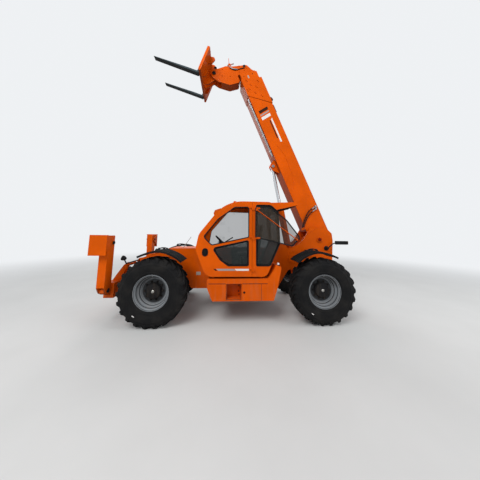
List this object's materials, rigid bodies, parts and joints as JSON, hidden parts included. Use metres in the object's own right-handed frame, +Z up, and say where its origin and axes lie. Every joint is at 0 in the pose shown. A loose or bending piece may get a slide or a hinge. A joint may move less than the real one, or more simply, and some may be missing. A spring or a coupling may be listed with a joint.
{
  "type": "telehandler",
  "caption": "Rigid high-reach telescopic handler on four steered wheels, with a side cab, a raised telescopic boom, a fork carriage and folding front stabilisers.",
  "frame": {"origin": "middle of the bottom of the whole machine, on the ground", "axes": "+X forwards to the forks, +Y to the cab side, +Z up"},
  "size_m": [5.735, 2.5, 6.9885],
  "materials": {
    "orange_paint": "gloss orange paint",
    "axle_black": "satin black paint",
    "black_paint": "satin black paint",
    "black_plastic": "ribbed black plastic",
    "black_rubber": "black hose rubber",
    "tinted_glass": "tinted safety glass",
    "seat_cloth": "dark seat cloth",
    "engine_alloy": "cast alloy",
    "pipe_steel": "plated steel pipe",
    "chrome_rod": "polished chrome rod",
    "fork_grey": "slate grey paint",
    "rim_silver": "silver grey paint",
    "tyre_rubber": "tyre rubber"
  },
  "bodies": {
    "chassis": {"frame_plates": "orange_paint", "chassis_frame": "orange_paint", "front_beam": "orange_paint", "counterweight": "orange_paint", "front_axle": "axle_black", "rear_axle": "axle_black", "front_mudguards": "black_plastic", "rear_mudguards": "black_plastic", "front_lamps": "black_paint", "rear_lamps": "black_paint", "cab_shell": "orange_paint", "cab_glass": "tinted_glass", "cab_seat": "seat_cloth", "cab_console": "black_plastic", "open_window": "tinted_glass", "step_box": "orange_paint", "engine_pod": "orange_paint", "engine_block": "engine_alloy"},
    "door": {"door": "orange_paint", "door_glass": "tinted_glass", "door_handle": "black_plastic"},
    "engine_hood": {"engine_hood": "orange_paint"},
    "boom": {"boom_outer": "orange_paint", "boom_pipes": "pipe_steel", "boom_hose_a": "black_rubber", "boom_hose_b": "black_rubber"},
    "mid_a": {"boom_mid_a": "orange_paint"},
    "mid_b": {"boom_mid_b": "orange_paint"},
    "head": {"boom_head": "orange_paint", "head_hose": "black_rubber"},
    "carriage": {"carriage": "orange_paint", "forks": "fork_grey"},
    "lift_barrel": {"lift_barrel": "orange_paint"},
    "lift_rod": {"lift_rod": "chrome_rod"},
    "tilt_barrel": {"tilt_barrel": "orange_paint"},
    "tilt_rod": {"tilt_rod": "chrome_rod"},
    "knuckle_fl": {"knuckle_fl": "axle_black"},
    "wheel_fl": {"rim_fl": "rim_silver", "tyre_fl": "tyre_rubber"},
    "knuckle_fr": {"knuckle_fr": "axle_black"},
    "wheel_fr": {"rim_fr": "rim_silver", "tyre_fr": "tyre_rubber"},
    "knuckle_rl": {"knuckle_rl": "axle_black"},
    "wheel_rl": {"rim_rl": "rim_silver", "tyre_rl": "tyre_rubber"},
    "knuckle_rr": {"knuckle_rr": "axle_black"},
    "wheel_rr": {"rim_rr": "rim_silver", "tyre_rr": "tyre_rubber"},
    "leg_l": {"stabiliser_leg_l": "orange_paint"},
    "foot_l": {"stabiliser_foot_l": "orange_paint"},
    "leg_r": {"stabiliser_leg_r": "orange_paint"},
    "foot_r": {"stabiliser_foot_r": "orange_paint"}
  },
  "joints": [
    {"name": "steer_fl", "type": "hinge", "parent": "chassis", "child": "knuckle_fl", "pos_m": [1.6825, 0.8, 0.674], "axis": [0, 0, 1], "range_deg": [-34, 34]},
    {"name": "roll_fl", "type": "hinge", "parent": "knuckle_fl", "child": "wheel_fl", "pos_m": [1.6825, 0.9775, 0.674], "axis": [0, 1, 0], "continuous": true},
    {"name": "steer_fr", "type": "hinge", "parent": "chassis", "child": "knuckle_fr", "pos_m": [1.6825, -0.8, 0.674], "axis": [0, 0, 1], "range_deg": [-34, 34]},
    {"name": "roll_fr", "type": "hinge", "parent": "knuckle_fr", "child": "wheel_fr", "pos_m": [1.6825, -0.9775, 0.674], "axis": [0, 1, 0], "continuous": true},
    {"name": "steer_rl", "type": "hinge", "parent": "chassis", "child": "knuckle_rl", "pos_m": [-1.8175, 0.8, 0.674], "axis": [0, 0, 1], "range_deg": [-34, 34]},
    {"name": "roll_rl", "type": "hinge", "parent": "knuckle_rl", "child": "wheel_rl", "pos_m": [-1.8175, 0.9775, 0.674], "axis": [0, 1, 0], "continuous": true},
    {"name": "steer_rr", "type": "hinge", "parent": "chassis", "child": "knuckle_rr", "pos_m": [-1.8175, -0.8, 0.674], "axis": [0, 0, 1], "range_deg": [-34, 34]},
    {"name": "roll_rr", "type": "hinge", "parent": "knuckle_rr", "child": "wheel_rr", "pos_m": [-1.8175, -0.9775, 0.674], "axis": [0, 1, 0], "continuous": true},
    {"name": "door_swing", "type": "hinge", "parent": "chassis", "child": "door", "pos_m": [-0.3045, 1.136, 1.5], "axis": [0, 0, 1], "range_deg": [0, 100]},
    {"name": "hood_swing", "type": "hinge", "parent": "chassis", "child": "engine_hood", "pos_m": [-0.0675, -0.369, 1.45], "axis": [-1, 0, 0], "range_deg": [0, 60]},
    {"name": "stabiliser_l", "type": "hinge", "parent": "chassis", "child": "leg_l", "pos_m": [2.6475, 1.035, 0.69], "axis": [-1, 0, 0], "range_deg": [0, 120]},
    {"name": "foot_l", "type": "hinge", "parent": "leg_l", "child": "foot_l", "pos_m": [2.6475, 1.035, 1.63], "axis": [1, 0, 0], "range_deg": [-8, 40]},
    {"name": "stabiliser_r", "type": "hinge", "parent": "chassis", "child": "leg_r", "pos_m": [2.6475, -1.035, 0.69], "axis": [1, 0, 0], "range_deg": [0, 120]},
    {"name": "foot_r", "type": "hinge", "parent": "leg_r", "child": "foot_r", "pos_m": [2.6475, -1.035, 1.63], "axis": [-1, 0, 0], "range_deg": [-8, 40]},
    {"name": "boom_lift", "type": "hinge", "parent": "chassis", "child": "boom", "pos_m": [-2.1625, 0, 1.718], "axis": [0, -1, 0], "range_deg": [-67.5, 2.5]},
    {"name": "boom_extend", "type": "slide", "parent": "boom", "child": "mid_a", "axis": [0.3827, 0, 0.9239], "range_m": [0, 3.7]},
    {"name": "boom_extend_b", "type": "slide", "parent": "mid_a", "child": "mid_b", "axis": [0.3827, 0, 0.9239], "range_m": [0, 3.7]},
    {"name": "boom_extend_c", "type": "slide", "parent": "mid_b", "child": "head", "axis": [0.3827, 0, 0.9239], "range_m": [0, 3.7]},
    {"name": "fork_tilt", "type": "hinge", "parent": "head", "child": "carriage", "pos_m": [0.70651, 0, 6.46297], "axis": [0, -1, 0], "range_deg": [-51, 61]},
    {"name": "lift_barrel_swing", "type": "hinge", "parent": "chassis", "child": "lift_barrel", "pos_m": [-1.4775, 0, 1.27], "axis": [0, -1, 0], "range_deg": [-73.66, 2.73]},
    {"name": "lift_rod_slide", "type": "slide", "parent": "lift_barrel", "child": "lift_rod", "axis": [0.1828, 0, 0.9831], "range_m": [-0.88303, 0.0327]},
    {"name": "tilt_barrel_swing", "type": "hinge", "parent": "head", "child": "tilt_barrel", "pos_m": [-0.16748, 0, 6.74998], "axis": [0, -1, 0], "range_deg": [-12.67, 10.6]},
    {"name": "tilt_rod_slide", "type": "slide", "parent": "tilt_barrel", "child": "tilt_rod", "axis": [0.9969, 0, -0.0791], "range_m": [-0.14833, 0.12401]}
  ],
  "couplings": [
    {"joint": "steer_fr", "follows": "steer_fl", "ratio": 1},
    {"joint": "steer_rr", "follows": "steer_rl", "ratio": 1},
    {"joint": "boom_extend_b", "follows": "boom_extend", "ratio": 1},
    {"joint": "boom_extend_c", "follows": "boom_extend", "ratio": 1},
    {"joint": "lift_barrel_swing", "follows": "boom_lift", "ratio": 1.0913},
    {"joint": "lift_rod_slide", "follows": "boom_lift", "m_per_rad": 0.74954},
    {"joint": "tilt_barrel_swing", "follows": "fork_tilt", "ratio": -0.20775},
    {"joint": "tilt_rod_slide", "follows": "fork_tilt", "m_per_rad": -0.13932}
  ]
}
